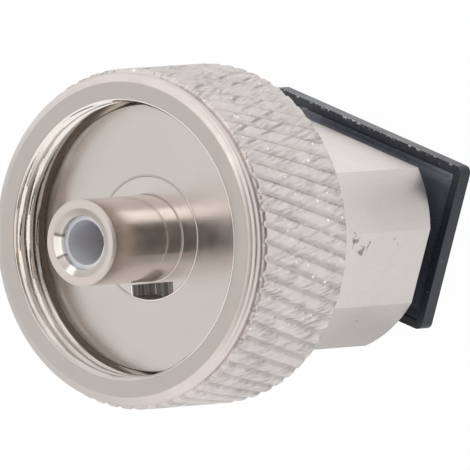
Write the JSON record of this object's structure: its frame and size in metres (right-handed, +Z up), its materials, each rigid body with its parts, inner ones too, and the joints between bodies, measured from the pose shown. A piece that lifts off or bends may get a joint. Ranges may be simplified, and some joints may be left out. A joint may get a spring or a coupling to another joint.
{
  "type": "reflectometer fiber adapter",
  "caption": "Optical adapter: knurled coupling nut and ferrule sleeve tube on one side, rectangular push-pull plug port with a dust cap on the other.",
  "frame": {"origin": "on the common axis, at the dust cap's rear face, on which the part stands", "axes": "+Z up the axis towards the sleeve tube's tip, +X along the long side of the plug port, +Y towards the port's key side"},
  "size_m": [0.0188, 0.0188, 0.0245],
  "materials": {
    "nickel_plate": "nickel plated, satin",
    "spring_steel": "satin",
    "zirconia": "polished ceramic",
    "latch_polymer": "moulded",
    "black_polymer": "moulded, satin"
  },
  "bodies": {
    "dust_cap": {"dust_cap": "black_polymer"},
    "adapter_body": {"receptacle_body": "nickel_plate", "sleeve_holder": "nickel_plate", "split_sleeve": "zirconia", "latch_insert": "latch_polymer", "retaining_ring": "spring_steel"},
    "coupling_nut": {"coupling_nut": "nickel_plate"}
  },
  "joints": [
    {"name": "cap_pull", "type": "slide", "parent": "dust_cap", "child": "adapter_body", "axis": [0, 0, 1], "range_m": [0, 0.012]},
    {"name": "nut_spin", "type": "hinge", "parent": "adapter_body", "child": "coupling_nut", "pos_m": [0, 0, 0.0165], "axis": [0, 0, 1], "continuous": true}
  ]
}
